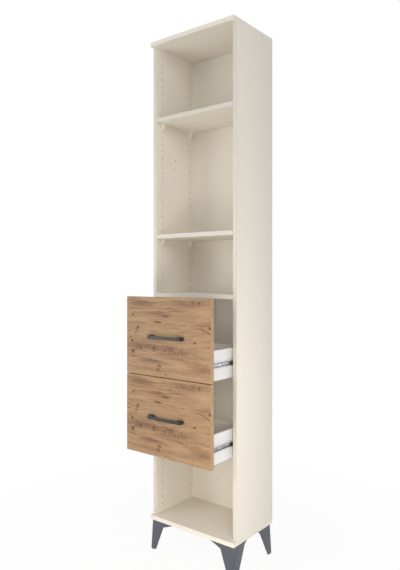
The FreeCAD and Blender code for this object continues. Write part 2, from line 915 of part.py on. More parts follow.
def carcass_nodes():
    nodes = {
        "left_side_panel": side_panel(-1),
        "right_side_panel": side_panel(1),
        "top_panel": top_panel(),
        "bottom_panel": bottom_panel(),
        "back_panel": back_panel(),
        "fixed_shelf": fixed_shelf(),
        "lower_shelf": loose_shelf(lower_shelf_bottom),
        "upper_shelf": loose_shelf(upper_shelf_bottom),
        "lower_shelf_supports": shelf_supports(lower_shelf_bottom),
        "upper_shelf_supports": shelf_supports(upper_shelf_bottom),
        "front_left_leg": leg(-1, -1),
        "front_right_leg": leg(1, -1),
        "back_left_leg": leg(-1, 1),
        "back_right_leg": leg(1, 1),
        "leg_glides": leg_glides(),
        "leg_screws": leg_screws(),
        "carcass_dowels": carcass_dowels(),
        "cabinet_runner_screws": cabinet_runner_screws(),
    }
    for name in drawer_bottoms:
        for side, hand in sides.items():
            nodes[name + "_" + side + "_cabinet_runner"] = cabinet_runner(hand, name)
    return nodes


def drawer_nodes(name):
    nodes = {
        "front": drawer_front(name),
        "back": drawer_back(name),
        "bottom": drawer_bottom(name),
        "handle": drawer_handle(name),
        "handle_screws": handle_screws(name),
        "dowels": drawer_dowels(name),
        "runner_screws": drawer_runner_screws(name),
    }
    for side, hand in sides.items():
        nodes[side + "_side"] = drawer_side(hand, name)
        nodes[side + "_runner"] = drawer_runner(hand, name)
    return {name + "_drawer_" + key: shape for key, shape in nodes.items()}


def cage_nodes(name):
    nodes = {}
    for side, hand in sides.items():
        nodes[name + "_" + side + "_ball_cage"] = ball_cage(hand, name)
        nodes[name + "_" + side + "_balls"] = runner_balls(hand, name)
    return nodes


def all_nodes():
    """Every piece by name, with the drawers open and the cages half as far."""
    groups = [(carcass_nodes(), 0)]
    for name in drawer_bottoms:
        groups.append((drawer_nodes(name), photo_opening))
        groups.append((cage_nodes(name), photo_opening / 2))
    placed = {}
    for nodes, opening in groups:
        for node, shape in nodes.items():
            shape.translate(Vector(0, -opening - centre_y, 0))
            placed[node] = shape
    return placed


def main():
    os.makedirs("parts", exist_ok=True)
    for node, shape in all_nodes().items():
        shape.exportStep(os.path.join("parts", node + ".step"))


if __name__ == "__main__":
    main()
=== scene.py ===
import math

import bmesh
import bpy
from bpy.props import FloatProperty, FloatVectorProperty, IntProperty, PointerProperty
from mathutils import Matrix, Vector


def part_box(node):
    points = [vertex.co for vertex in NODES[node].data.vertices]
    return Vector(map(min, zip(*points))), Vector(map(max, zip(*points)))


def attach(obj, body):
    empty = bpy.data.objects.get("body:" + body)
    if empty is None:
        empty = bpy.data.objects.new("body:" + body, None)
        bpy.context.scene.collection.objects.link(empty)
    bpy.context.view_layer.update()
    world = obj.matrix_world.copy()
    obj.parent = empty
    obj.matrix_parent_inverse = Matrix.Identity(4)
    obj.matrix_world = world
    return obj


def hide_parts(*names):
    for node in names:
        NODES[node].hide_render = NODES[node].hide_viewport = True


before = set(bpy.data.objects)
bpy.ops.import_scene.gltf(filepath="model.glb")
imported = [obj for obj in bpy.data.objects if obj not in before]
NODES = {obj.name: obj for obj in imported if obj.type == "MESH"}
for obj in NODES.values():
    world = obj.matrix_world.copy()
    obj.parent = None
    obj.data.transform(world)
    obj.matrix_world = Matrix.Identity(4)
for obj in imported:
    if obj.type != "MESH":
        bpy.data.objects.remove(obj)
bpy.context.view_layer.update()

bl_info = {
    "name": "Storage cabinet",
    "version": (1, 0, 0),
    "blender": (4, 5, 0),
    "location": "View3D > Sidebar > Cabinet",
    "description": "Finishes a tall storage cabinet with two drawers and sets up its view",
    "category": "Object",
}

X, Y, Z = range(3)
MM = 0.001
DRAWERS = ("upper", "lower")
SIDES = ("left", "right")
CAPS = ("top_panel", "bottom_panel")
SHELVES = ("fixed_shelf", "lower_shelf", "upper_shelf")

# Edges sharper than the first angle stay sharp; faces that meet flatter than the second are one.
SHARP_ANGLE = math.radians(30)
FLAT_ANGLE = math.radians(0.5)
# Corners nearer to each other than this are one, and a top face's corners are this near to the top.
MERGE_DISTANCE = 1e-6
TOP_MARGIN = 1e-5
# Decimals by which places are told apart.
DECIMALS = 5

# Widths of softened edges.
SUPPORT_SOFTENING = 0.0003
DRAWER_BACK_SOFTENING = 0.0004
LEG_SOFTENING = 0.0006
HANDLE_SOFTENING = 0.0008

# Shelf holes: the front and the back row, the lowest hole and the count of each group in them, the
# row between them with the lower hole of each of its pairs, and a margin round them all.
HOLE_ROWS = (-0.002, 0.190)
HOLE_GROUPS = ((0.182, 9), (1.132, 7), (1.383, 15), (1.890, 9))
MIDDLE_ROW = 0.087
MIDDLE_PAIRS = (1.325, 1.674)
HOLE_MARGIN = 0.01
# The groove for the back panel, and the panel's play in it on either side.
GROOVE_DEPTH = 0.006
GROOVE_PLAY = 0.0002

# Edge bands: thickness, share of the face's colour, and the line where band and face meet.
# The side panels' and shelves' bands take a darker share than the top's and bottom's: the band's
# own tone plus painted shade.
EDGE_BAND = 0.001
END_BAND = 0.0007
SHADED_EDGE_BAND_SHARE = 0.81
CAP_BAND_SHARE = 0.985
END_BAND_SHARE = 1.15
HAIRLINE = 0.0003
# Thickness of a drilled board's facing and of a thin board's raw side.
FACING = 0.0004
RAW_SKIN = 0.0002
# Fineness of the marks on drawn metal.
MARKS_ALONG = 12
MARKS_ACROSS = 900

# Stains of the oak decor: place along and across the grain from the front's centre, half length and
# half height, all in millimetres, then tilt in degrees and strength.
DARK_CLOUDS = (
    (-140, 131, 105, 16, 0, 0.95), (20, 112, 70, 8, -3, 0.35), (105, 136, 130, 26, 0, 1.1),
    (-80, 95, 150, 10, -2, 0.6), (-140, -47, 100, 22, 0, 0.95), (50, -55, 190, 31, -2, 0.95),
    (-110, -93, 125, 8, -3, 0.5), (-110, -104, 120, 14, 0, 0.4), (-145, -132, 85, 11, 2, 0.6),
    (60, -82, 140, 7, -2, 0.35), (20, 36, 95, 6, -2, 0.35), (130, 90, 80, 6, 0, 0.35),
    (100, -126, 90, 6, -2, 0.3), (138, -94, 75, 15, 0, 0.5),
)
PALE_CLOUDS = (
    (-150, 66, 60, 12, 0, 0.6), (-40, 18, 140, 20, 0, 0.55), (130, 68, 90, 14, 0, 0.5),
    (60, -108, 80, 16, 0, 0.9), (80, -142, 130, 10, 0, 0.5), (-100, 152, 120, 6, 0, 0.4),
    (0, -17, 130, 7, 0, 0.5), (-120, -70, 60, 4, 0, 0.5), (130, 16, 80, 10, 0, 0.45),
)
RED_CLOUDS = (
    (145, -94, 66, 16, 0, 0.8), (121, 0, 10, 6, 0, 0.8), (110, 100, 70, 12, 0, 0.3),
    (-60, 96, 110, 7, 0, 0.35), (-38, -113, 22, 6, 0, 0.6),
)
STREAKS = (
    (-47, 60, 25, 5.5, -3, 1.0), (-3, 83, 26, 5, -8, 0.5), (10, 90, 36, 3, 6, 0.35),
    (-25, 99, 56, 3, -2, 0.3), (-33, 112, 18, 3, 4, 0.3), (-60, 92, 60, 2.5, -3, 0.25),
    (86, 51, 18, 3, -3, 0.4), (104, 69, 60, 2.4, -2, 0.3), (70, 64, 26, 2.2, -14, 0.3),
    (162, 42, 22, 2, -3, 0.4), (183, 38, 20, 2.6, -12, 0.7), (205, 30, 17, 2.6, -26, 0.8),
    (-37, -113, 16, 6, -4, 0.75), (-43, -126, 14, 5, -8, 0.6), (-58, -93, 44, 3, -3, 0.35),
    (-181, -86, 28, 3, -4, 0.3), (-150, -84, 46, 2, -2, 0.25), (60, -62, 34, 2.4, -8, 0.25),
    (30, 104, 40, 2.4, 3, 0.25), (-178, 112, 34, 2.4, -2, 0.25), (-120, 140, 50, 2.2, 1, 0.2),
    (-162, 14, 6, 17, -22, 0.25), (-167, 12, 2.5, 14, -24, 0.3), (-184, -67, 18, 10, 0, 0.22),
    (-155, 32, 14, 9, 50, 0.18), (-181, 86, 14, 6, 0, 0.2), (-188, -24, 9, 9, 0, 0.15),
)
KNOTS = (
    (164, 139, 4.5, 4.5, 0, 1.0), (-181, 85, 7, 4, 10, 0.75), (-155, 33, 7, 6, 50, 0.8),
    (213, 48, 6.5, 6.5, 0, 1.0), (-187, -24, 5, 7, -25, 0.9), (-198, -8, 4, 3, 0, 0.5),
    (142, -11, 6.5, 4.5, 10, 0.9), (-68, -45, 6, 6.5, 0, 1.0), (-182, -67, 8, 7, 0, 0.8),
    (-139, -47, 5, 8, 0, 0.45), (-3, -147, 5, 4, 0, 0.65), (-112, 4, 3.5, 3.5, 0, 0.35),
    (-205, 16, 4, 3, 0, 0.45), (192, -100, 3.5, 3, 0, 0.35), (132, 141, 5, 4, 0, 0.4),
    (-33, 121, 4, 3, 0, 0.4),
)
RINGS = (
    (-161, 15, 8, 18, -20, 0.45), (12, -53, 22, 12, 0, 0.4), (48, -48, 26, 8, 0, 0.25),
    (-2, -64, 30, 8, -10, 0.25), (-161, -44, 12, 9, 0, 0.3),
)
# What each layer adds to the decor's depth of tone, which goes from 0 for pale to 1 for brown.
BASE_DEPTH = 0.28
BROAD_DEPTH = 1.25
FIBRE_DEPTH = 0.95
STROKE_DEPTH = 0.26
PORE_DEPTH = 0.1
DARK_DEPTH = 0.38
FLECK_DEPTH = 0.9
PALE_DEPTH = 0.22
STREAK_DEPTH = 0.9
RING_DEPTH = 0.38
HALO_DEPTH = 0.16
# How far a red cloud covers the grain, and how far the grain is pulled round a knot.
RED_SHARE = 0.6
BEND_PULL = 0.85
# Where a stain's full strength ends, as a share of its size, and where a ring fades on either side.
CLOUD_CORE = 0.1
STREAK_CORE = 0.4
KNOT_CORE = 0.35
KNOT_RIM = 1.2
RING_OUTSIDE = (1.4, 1.0)
RING_INSIDE = (0.55, 0.9)
# The noise between which strokes and pores come in, and the reach of broad and fine waves.
STROKE_NOISE = (0.53, 0.67)
PORE_NOISE = (0.55, 0.7)
BROAD_WAVE = 12 * MM
FINE_WAVE = 3 * MM
# How many times as long and as high as a knot its halo is, and the bend of the grain round it.
HALO_REACH = (2.2, 2)
BEND_REACH = (4.5, 4)

BALL_SEGMENTS = 16
BALL_RINGS = 10
# Screws: how far the head stands proud, the sides of its parts, and their sizes as shares of the
# head's radius (recess arm), the shank's (core, thread crest, tip length) and the core's (tip end).
HEAD_PROUD = 0.0001
HEAD_SIDES = 24
SHANK_SIDES = 16
THREAD_STEPS = 14
THREAD_SIDES = 4
ARM_SHARE = 1.15
CORE_SHARE = 0.78
CREST_SHARE = 0.22
TIP_SHARE = 1.6
TIP_END_SHARE = 0.2

# The camera stands level; its focal length and the horizon's shift are in pixels of the picture.
CAMERA_PLACE = (1.47526, -1.87609, 1.18851)
CAMERA_TURN = math.radians(38.03)
FOCAL_PIXELS = 568.97
PICTURE_HEIGHT = 570
SENSOR = 36.0
HORIZON_SHIFT = -9.67 / PICTURE_HEIGHT
# The floor: half its width, its tone, how much of it glows white under the cabinet, and the
# distances from the middle between which that rises to all of it.
FLOOR_REACH = 4
FLOOR_TONE = (0.92, 0.92, 0.92)
FLOOR_WHITE_SHARE = 0.93
FLOOR_FADE = (0.3, 1.6)
WHITE = (1.0, 1.0, 1.0)
# Lamps: place, aim, width and colour. Their powers are settings of the same names.
LAMPS = {
    "left_lamp": ((-1.6, -2.0, 1.2), (0, 0, 1.0), 1.8, (1.0, 0.99, 0.97)),
    "high_lamp": ((2.0, -1.6, 2.4), (0, 0, 0.7), 1.8, (1.0, 0.99, 0.99)),
    "side_lamp": ((2.2, 1.8, 1.2), (0.2, 0.15, 0.9), 1.4, (0.94, 0.96, 1.0)),
    "fill_lamp": ((1.4, -1.3, 0.75), (0, -0.05, 0.2), 0.8, (1.0, 0.87, 0.76)),
    "low_lamp": ((0.75, -1.0, 0.62), (0, 0, 0.15), 0.5, (1.0, 0.95, 0.88)),
    "back_lamp": ((1.4, 1.3, 0.45), (0.2, 0.15, 0.6), 0.9, (0.78, 0.86, 1.0)),
}


def tone(red, green, blue):
    """A display colour, 0 to 255, as the linear colour that the shaders take."""
    def linear(part):
        share = part / 255
        return share / 12.92 if share <= 0.04045 else ((share + 0.055) / 1.055) ** 2.4
    return linear(red), linear(green), linear(blue)


def scaled(colour, share):
    """A colour with each of its parts taken times a share."""
    return tuple(part * share for part in colour)


# The dark and the pale tone of bare materials.
CHIPBOARD = (tone(108, 86, 62), tone(160, 131, 97))
HARDBOARD = (tone(146, 112, 78), tone(182, 146, 106))
BEECH = (tone(178, 132, 92), tone(214, 176, 134))


class Value:
    """A socket that arithmetic can be written on; every operator adds a Math node."""

    def __init__(self, work, socket):
        self.work = work
        self.socket = socket

    def __add__(self, other):
        return self.work.math("ADD", self, other)

    def __sub__(self, other):
        return self.work.math("SUBTRACT", self, other)

    def __rsub__(self, other):
        return self.work.math("SUBTRACT", other, self)

    def __mul__(self, other):
        return self.work.math("MULTIPLY", self, other)

    def __truediv__(self, other):
        return self.work.math("DIVIDE", self, other)

    def __gt__(self, other):
        return self.work.math("GREATER_THAN", self, other)

    def __lt__(self, other):
        return self.work.math("LESS_THAN", self, other)

    def __abs__(self):
        return self.work.math("ABSOLUTE", self)

    __radd__ = __add__
    __rmul__ = __mul__


class Work:
    """Adds nodes to one tree."""

    def __init__(self, tree):
        self.tree = tree

    def add(self, kind, options=None, sockets=None):
        """One node: its options first, then the values or links of its sockets."""
        node = self.tree.nodes.new(kind)
        for name, option in (options or {}).items():
            setattr(node, name, option)
        for name, value in (sockets or {}).items():
            self.feed(node.inputs[name], value)
        return node

    def feed(self, socket, value):
        """Links or sets a socket; a list goes to a socket that takes several links."""
        for part in value if isinstance(value, list) else [value]:
            if isinstance(part, Value):
                self.tree.links.new(part.socket, socket)
            elif socket.type == "RGBA":
                socket.default_value = (*part, 1)
            else:
                socket.default_value = part

    def value(self, kind, options=None, sockets=None, output=0):
        """One of a new node's outputs."""
        return Value(self, self.add(kind, options, sockets).outputs[output])

    def math(self, operation, first, second=0.0):
        return self.value("ShaderNodeMath", {"operation": operation}, {0: first, 1: second})

    def vector(self, x=0.0, y=0.0, z=0.0):
        return self.value("ShaderNodeCombineXYZ", sockets={"X": x, "Y": y, "Z": z})

    def looking_rays(self):
        """1 for rays that look from the camera, also by a mirror or through glass, and else 0."""
        rays = self.add("ShaderNodeLightPath")
        seen, mirrored, through = (Value(self, rays.outputs[f"Is {kind} Ray"])
                                   for kind in ("Camera", "Glossy", "Transmission"))
        return self.math("MAXIMUM", self.math("MAXIMUM", seen, mirrored), through)


class Finish(Work):
    """A material made of nodes."""

    def __init__(self, name):
        self.material = bpy.data.materials.new(name)
        self.material.use_nodes = True
        super().__init__(self.material.node_tree)
        self.tree.nodes.clear()
        self.point = self.value("ShaderNodeTexCoord", output="Object")

    def axes(self, point=None):
        """The three coordinates of a point; without one, of the piece's own."""
        node = self.add("ShaderNodeSeparateXYZ", sockets={0: point or self.point})
        return [Value(self, socket) for socket in node.outputs]

    def centred(self, centre):
        """The piece's point as measured from a centre."""
        return self.value("ShaderNodeMapping", {"vector_type": "TEXTURE"}, {
            "Vector": self.point, "Location": centre})

    def stretched(self, scale, point=None):
        return self.value("ShaderNodeMapping", {"vector_type": "POINT"}, {
            "Vector": point or self.point, "Scale": scale})

    def shifted(self, point, amount):
        return self.value("ShaderNodeVectorMath", {"operation": "ADD"}, {0: point, 1: amount})

    def distance(self, point):
        """How far a point lies from its origin."""
        return self.value("ShaderNodeVectorMath", {"operation": "LENGTH"}, {0: point},
                          output="Value")

    def noise(self, point, scale=1.0, detail=2.0, roughness=0.5, distortion=0.0):
        return self.value("ShaderNodeTexNoise", sockets={
            "Vector": point, "Scale": scale, "Detail": detail, "Roughness": roughness,
            "Distortion": distortion})

    def swing(self, noise, reach):
        """A noise as a swing to both sides of nothing."""
        return (noise - 0.5) * reach

    def ease(self, value, low, high, first=0.0, last=1.0):
        """Goes smoothly from first to last while the value goes from low to high."""
        return self.value("ShaderNodeMapRange", {"interpolation_type": "SMOOTHSTEP"}, {
            "Value": value, "From Min": low, "From Max": high, "To Min": first, "To Max": last})

    def mix(self, share, first, second):
        """A colour between two; the node's sockets for colours are 6, 7 and the output 2."""
        return self.value("ShaderNodeMix", {"data_type": "RGBA"}, {
            0: share, 6: first, 7: second}, output=2)

    def ramp(self, value, stops):
        """A colour picked by a value from a row of places and their colours."""
        node = self.add("ShaderNodeValToRGB", sockets={"Fac": value})
        elements = node.color_ramp.elements
        while len(elements) < len(stops):
            elements.new(0.5)
        for element, (place, colour) in zip(elements, stops):
            element.position = place
            element.color = (*colour, 1)
        return Value(self, node.outputs[0])

    def away(self, point, stain):
        """0 at a stain's middle and 1 at its rim, on a face that lies across Y."""
        along, across, half_length, half_height, tilt = stain[:5]
        no_depth = 1000
        local = self.value("ShaderNodeMapping", {"vector_type": "TEXTURE"}, {
            "Vector": point, "Location": (along * MM, 0, across * MM),
            "Rotation": (0, -math.radians(tilt), 0),
            "Scale": (half_length * MM, no_depth, half_height * MM)})
        return self.distance(local)

    def stain(self, point, stain, strength, core, rim=1.1):
        """The strength inside a stain's core, easing out to nothing at its rim."""
        return self.ease(self.away(point, stain), rim, core, 0, strength)

    def surface(self, colour, roughness, relief, depth, strength, metallic=0.0, specular=0.5):
        """Ends the tree in a Principled shader; the relief's depth is in metres."""
        normal = self.value("ShaderNodeBump", sockets={
            "Height": relief, "Distance": depth, "Strength": strength})
        shader = self.value("ShaderNodeBsdfPrincipled", sockets={
            "Base Color": colour, "Roughness": roughness, "Normal": normal,
            "Metallic": metallic, "Specular IOR Level": specular})
        self.add("ShaderNodeOutputMaterial", sockets={"Surface": shader})
        return self.material


class Maker(Work):
    """A geometry node tree with named inputs, put on one object and turned into a plain mesh."""

    def __init__(self, name):
        super().__init__(bpy.data.node_groups.new(name, "GeometryNodeTree"))
        for way in ("INPUT", "OUTPUT"):
            self.tree.interface.new_socket("Geometry", in_out=way, socket_type="NodeSocketGeometry")
        self.entry = self.tree.nodes.new("NodeGroupInput")
        self.given = {}

    def start(self):
        """The mesh that the tree is put on."""
        return Value(self, self.entry.outputs[0])

    def input(self, name, kind, value):
        """A named input of the tree, and the value that it is given."""
        socket = self.tree.interface.new_socket(name, in_out="INPUT", socket_type=kind)
        self.given[socket.identifier] = value
        return Value(self, self.entry.outputs[name])

    def length(self, name, value):
        return self.input(name, "NodeSocketFloat", value)

    def points(self):
        """The corners of the mesh that the tree is put on, as points."""
        return self.value("GeometryNodeMeshToPoints", sockets={"Mesh": self.start()})

    def cylinder(self, sides, radius, depth):
        return self.value("GeometryNodeMeshCylinder", sockets={
            "Vertices": sides, "Radius": radius, "Depth": depth})

    def cone(self, sides, bottom, top, depth):
        return self.value("GeometryNodeMeshCone", sockets={
            "Vertices": sides, "Radius Bottom": bottom, "Radius Top": top, "Depth": depth})

    def joined(self, shapes):
        return self.value("GeometryNodeJoinGeometry", sockets={0: shapes})

    def copies(self, points, shape, turn=(0, 0, 0)):
        return self.value("GeometryNodeInstanceOnPoints", sockets={
            "Points": points, "Instance": shape, "Rotation": turn})

    def real(self, shape):
        """Copies turned into a plain mesh."""
        return self.value("GeometryNodeRealizeInstances", sockets={0: shape})

    def lifted(self, shape, height):
        return self.value("GeometryNodeTransform", sockets={
            "Geometry": shape, "Translation": self.vector(z=height)})

    def cut(self, shape, tools):
        return self.value("GeometryNodeMeshBoolean", {
            "operation": "DIFFERENCE", "solver": "EXACT"}, {"Mesh 1": shape, "Mesh 2": tools})

    def finished(self, shape, finish):
        """Ends the tree: copies are made real, and the finish is set."""
        coated = self.value("GeometryNodeSetMaterial", sockets={
            "Geometry": self.real(shape), "Material": finish})
        leave = self.tree.nodes.new("NodeGroupOutput")
        self.tree.links.new(coated.socket, leave.inputs[0])

    def apply(self, piece):
        """Runs the tree on a piece and leaves the result as the piece's own mesh."""
        modifier = piece.modifiers.new(self.tree.name, "NODES")
        modifier.node_group = self.tree
        for identifier, value in self.given.items():
            modifier[identifier] = value
        bake(piece)


def bake(piece):
    """Turns a piece with modifiers into a plain mesh."""
    ready = piece.evaluated_get(bpy.context.evaluated_depsgraph_get())
    mesh = bpy.data.meshes.new_from_object(ready)
    old = piece.data
    piece.modifiers.clear()
    piece.data = mesh
    if not mesh.polygons:
        raise RuntimeError(f"{piece.name} came out empty")
    if old.users == 0:
        bpy.data.meshes.remove(old)


def new_object(name, data):
    """A mesh, a lamp or a camera put into the scene."""
    made = bpy.data.objects.new(name, data)
    bpy.context.scene.collection.objects.link(made)
    return made


def solid_piece(name, shape, finish):
    """A piece made of a bmesh, with one finish."""
    mesh = bpy.data.meshes.new(name)
    shape.to_mesh(mesh)
    shape.free()
    mesh.materials.append(finish)
    return new_object(name, mesh)


def point_piece(name, points):
    """A piece of single points, for a tree to put copies on."""
    mesh = bpy.data.meshes.new(name)
    mesh.from_pydata(points, [], [])
    return new_object(name, mesh)


def stand_in(piece, node, body):
    """Shades a piece smoothly, with sharp edges kept, and lets it stand for a node."""
    mesh = piece.data
    mesh.polygons.foreach_set("use_smooth", [True] * len(mesh.polygons))
    mesh.set_sharp_from_angle(angle=SHARP_ANGLE)
    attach(piece, body)
    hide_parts(node)


def merged(node):
    """The node's triangles joined up, as a new bmesh."""
    shape = bmesh.new()
    shape.from_mesh(NODES[node].data)
    bmesh.ops.remove_doubles(shape, verts=shape.verts, dist=MERGE_DISTANCE)
    return shape


def middle(points):
    return sum(points, Vector()) / len(points)


def solids(node):
    """The corners of each separate solid of a node, ordered by the solids' middles."""
    shape = merged(node)
    waiting = set(shape.verts)
    groups = []
    while waiting:
        front = [waiting.pop()]
        found = list(front)
        while front:
            for edge in front.pop().link_edges:
                for vertex in edge.verts:
                    if vertex in waiting:
                        waiting.discard(vertex)
                        found.append(vertex)
                        front.append(vertex)
        groups.append([vertex.co.copy() for vertex in found])
    shape.free()
    return sorted(groups, key=lambda group: tuple(round(c, DECIMALS) for c in middle(group)))


def dressed(node, body, finish, softening=0.0, segments=2, rim=None):
    """Puts a copy of a node in its place, with softened edges. Its top face comes up to the rim,
    where one is given."""
    shape = merged(node)
    bmesh.ops.dissolve_limit(shape, angle_limit=FLAT_ANGLE, verts=shape.verts, edges=shape.edges,
                             use_dissolve_boundaries=False)
    if rim is not None:
        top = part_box(node)[1].z - TOP_MARGIN
        for vertex in shape.verts:
            if vertex.co.z > top:
                vertex.co.z = rim
    piece = solid_piece(node + "_finished", shape, finish)
    if softening:
        bevel = piece.modifiers.new("Softened edges", "BEVEL")
        bevel.width = softening
        bevel.segments = segments
        bevel.limit_method = "ANGLE"
        bevel.angle_limit = SHARP_ANGLE
        bevel.miter_outer = "MITER_ARC"
        bake(piece)
    stand_in(piece, node, body)


def coat(node, finish):
    """Gives a node the finish in all its slots."""
    mesh = NODES[node].data
    if not mesh.materials:
        mesh.materials.append(finish)
    for slot in NODES[node].material_slots:
        slot.material = finish


def board_finish(name, colour, front=None, share=SHADED_EDGE_BAND_SHARE, drilled=None):
    """Faced board with a fine pearl surface. With its front given, it has an edge band there in a
    share of its colour, and a hairline behind that. With its left and right face given, it is
    drilled, and the walls of the holes are raw chipboard."""
    finish = Finish(name)
    x, y, _ = finish.axes()
    grain = finish.noise(finish.stretched((1, 1, 0.4)), scale=900, detail=2, roughness=0.55)
    cloud = finish.noise(finish.point, scale=3, detail=2)
    here = finish.mix(cloud * 0.5, colour, scaled(colour, 0.96))
    if front is not None:
        band = y < front + EDGE_BAND
        line = (y > front + EDGE_BAND) * (y < front + EDGE_BAND + HAIRLINE)
        # The band's share holds its own tone and, where it is low, painted shade.
        here = finish.mix(band, here, scaled(colour, share))
        here = finish.mix(line * 0.35, here, scaled(colour, 0.55))
    if drilled:
        left, right = drilled
        inside = abs(x - (left + right) / 2) < (right - left) / 2 - FACING
        inside = inside * (y > front + HOLE_MARGIN) * (y < HOLE_ROWS[1] + HOLE_MARGIN)
        chips = finish.noise(finish.point, scale=1600, detail=3, roughness=0.7)
        here = finish.mix(inside, here, finish.mix(chips, *CHIPBOARD))
    return finish.surface(here, finish.ease(grain, 0.2, 0.8, 0.42, 0.56), relief=grain,
                          depth=0.00006, strength=0.35, specular=0.42)


def thin_board_finish(name, colour, axis, face, raw_above):
    """Thin hardboard, lacquered on its show face. Its other face, given by its place along an axis,
    is raw, brown and fibrous."""
    finish = Finish(name)
    part = finish.axes()[axis]
    raw = part > face - RAW_SKIN if raw_above else part < face + RAW_SKIN
    fibre = finish.noise(finish.stretched((60, 60, 90)), scale=6, detail=6, roughness=0.7,
                         distortion=0.4)
    mesh_marks = finish.noise(finish.point, scale=700, detail=2, roughness=0.6)
    brown = finish.mix(finish.ease(fibre, 0.3, 0.7), *HARDBOARD)
    return finish.surface(finish.mix(raw, colour, brown), finish.ease(raw, 0, 1, 0.48, 0.85),
                          relief=mesh_marks, depth=0.0001, strength=0.3)


def grown(stain, longer, higher):
    """A stain made a number of times as long and as high."""
    along, across, half_length, half_height, tilt, strength = stain
    return along, across, half_length * longer, half_height * higher, tilt, strength


def oak_finish(name, chosen, centre, half_width):
    """Knotty oak decor with its grain along X; the front's ends carry a plainer band."""
    finish = Finish(name)
    place = finish.centred(centre)
    x, _, z = finish.axes(place)

    def grain(point, along, across, detail=2, roughness=0.6):
        """A noise with its own fineness along and across the grain."""
        return finish.noise(finish.stretched((along, along, across), point), detail=detail,
                            roughness=roughness)

    def stains(table, strength, core):
        return sum(finish.stain(wavy, stain, stain[-1] * strength, core) for stain in table)

    lift = finish.swing(grain(place, 9, 34), BROAD_WAVE)
    lift = lift + finish.swing(grain(place, 60, 200), FINE_WAVE)
    wavy = finish.shifted(place, finish.vector(z=lift))
    for knot in KNOTS:
        near = finish.stain(place, grown(knot, *BEND_REACH), BEND_PULL, 0)
        lift = lift - (z - knot[1] * MM) * near
    bent = finish.shifted(place, finish.vector(z=lift))

    broad = grain(bent, 3.5, 42, detail=3, roughness=0.55)
    fibres = grain(bent, 8, 230, detail=4, roughness=0.65)
    strokes = grain(bent, 19, 520)
    pores = grain(bent, 70, 1500)
    flecks = grain(place, 170, 40)
    bands = finish.math("MINIMUM", stains(DARK_CLOUDS, 1, CLOUD_CORE), 1.0)
    depth = BASE_DEPTH + finish.swing(broad, BROAD_DEPTH) + finish.swing(fibres, FIBRE_DEPTH)
    depth = depth + bands * (DARK_DEPTH + finish.swing(flecks, FLECK_DEPTH))
    depth = depth + finish.ease(strokes, *STROKE_NOISE, 0, STROKE_DEPTH)
    depth = depth + finish.ease(pores, *PORE_NOISE, 0, PORE_DEPTH)
    depth = depth - stains(PALE_CLOUDS, PALE_DEPTH, CLOUD_CORE)
    depth = depth + stains(STREAKS, STREAK_DEPTH, STREAK_CORE)
    for ring in RINGS:
        away = finish.away(wavy, ring)
        shown = finish.ease(away, *RING_OUTSIDE) * finish.ease(away, *RING_INSIDE)
        depth = depth + shown * (ring[-1] * RING_DEPTH)
    knots = 0
    for knot in KNOTS:
        depth = depth + finish.stain(place, grown(knot, *HALO_REACH), HALO_DEPTH, 0)
        knots = knots + finish.stain(place, knot, knot[-1], KNOT_CORE, KNOT_RIM)

    here = finish.ramp(depth, ((0.0, chosen.oak_pale), (0.3, chosen.oak_mid),
                               (0.6, chosen.oak_dark), (1.0, chosen.oak_brown)))
    here = finish.mix(stains(RED_CLOUDS, RED_SHARE, CLOUD_CORE), here, chosen.oak_red)
    here = finish.mix(knots, here, chosen.oak_knot)
    band = finish.mix(finish.ease(fibres, 0.4, 0.6), scaled(chosen.oak_mid, END_BAND_SHARE),
                      scaled(chosen.oak_pale, END_BAND_SHARE))
    here = finish.mix(abs(x) > half_width - END_BAND, here, band)
    relief = fibres * 0.5 + strokes * 0.3 + pores * 0.2
    return finish.surface(here, finish.ease(relief, 0.3, 0.7, 0.62, 0.5), relief=relief,
                          depth=0.00015, strength=0.5, specular=0.3)


def coated_metal(name, colour):
    """Powder-coated steel: a matt dark skin with a faint orange peel."""
    finish = Finish(name)
    peel = finish.noise(finish.point, scale=1400, detail=2, roughness=0.5)
    wear = finish.noise(finish.point, scale=60, detail=3, roughness=0.6)
    here = finish.mix(wear, colour, scaled(colour, 0.82))
    return finish.surface(here, finish.ease(wear, 0.2, 0.8, 0.36, 0.5), relief=peel,
                          depth=0.00005, strength=0.4, metallic=0.2)


def zinc_finish(name, colour, along):
    """Bright zinc plate with drawing marks along one axis."""
    finish = Finish(name)
    scale = tuple(MARKS_ALONG if axis == along else MARKS_ACROSS for axis in (X, Y, Z))
    marks = finish.noise(finish.stretched(scale), detail=3, roughness=0.6)
    cloud = finish.noise(finish.point, scale=45, detail=3, roughness=0.6)
    here = finish.mix(cloud, colour, scaled(colour, 0.78))
    return finish.surface(here, finish.ease(marks + cloud, 0.7, 1.3, 0.24, 0.4), relief=marks,
                          depth=0.00003, strength=0.25, metallic=1.0)


def plastic_finish(name, colour, roughness):
    """Moulded plastic with a faintly uneven skin."""
    finish = Finish(name)
    skin = finish.noise(finish.point, scale=800, detail=2, roughness=0.5)
    cloud = finish.noise(finish.point, scale=40, detail=2)
    here = finish.mix(cloud, colour, scaled(colour, 0.9))
    uneven = finish.ease(skin, 0.2, 0.8, roughness - 0.05, roughness + 0.07)
    return finish.surface(here, uneven, relief=skin, depth=0.00003, strength=0.3)


def beech_finish(name):
    """Beech dowels: pale wood with short dark flecks along X."""
    finish = Finish(name)
    fleck = finish.noise(finish.stretched((120, 1500, 1500)), detail=3, roughness=0.6)
    here = finish.mix(finish.ease(fleck, 0.35, 0.65), *BEECH)
    return finish.surface(here, roughness=0.6, relief=fleck, depth=0.0001, strength=0.4)


def colour_setting(name, description, red, green, blue):
    return FloatVectorProperty(name=name, description=description, subtype="COLOR", size=3,
                               min=0, max=1, default=tone(red, green, blue))


def length_setting(name, description, value):
    return FloatProperty(name=name, description=description, default=value, min=0,
                         unit="LENGTH", subtype="DISTANCE")


def power_setting(name, description, value):
    return FloatProperty(name=name, description=description, default=value, min=0, unit="POWER")


